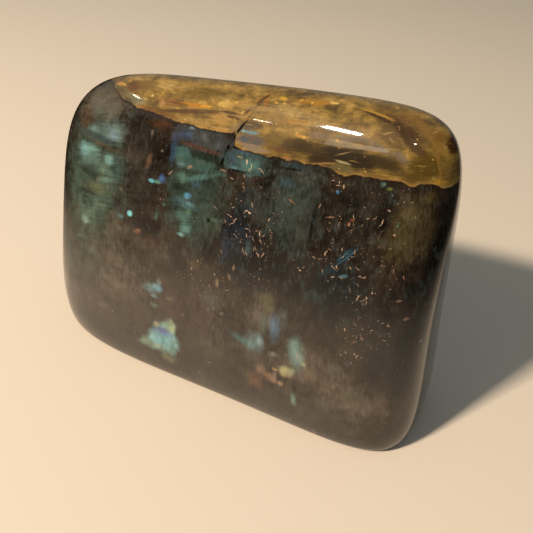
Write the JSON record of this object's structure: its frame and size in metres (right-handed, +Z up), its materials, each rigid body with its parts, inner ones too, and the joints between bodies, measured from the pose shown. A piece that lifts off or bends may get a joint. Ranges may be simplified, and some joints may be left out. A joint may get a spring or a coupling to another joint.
{
  "type": "polished labradorite",
  "caption": "Free-standing slab of polished labradorite: a pillow-shaped stone with rounded edges, sawn flat underneath to stand upright.",
  "frame": {"origin": "middle of the stone's footprint, on the surface that it stands on", "axes": "+Z up, +X along the width to the right of someone facing the stone, and the broad domed front face looks along -Y"},
  "size_m": [0.0886, 0.032, 0.0629],
  "materials": {
    "polished_labradorite": "high polish; dark grey-brown feldspar with blue-green flashes and a golden rind along the top"
  },
  "bodies": {
    "root": {"labradorite_stone": "polished_labradorite"}
  },
  "joints": []
}
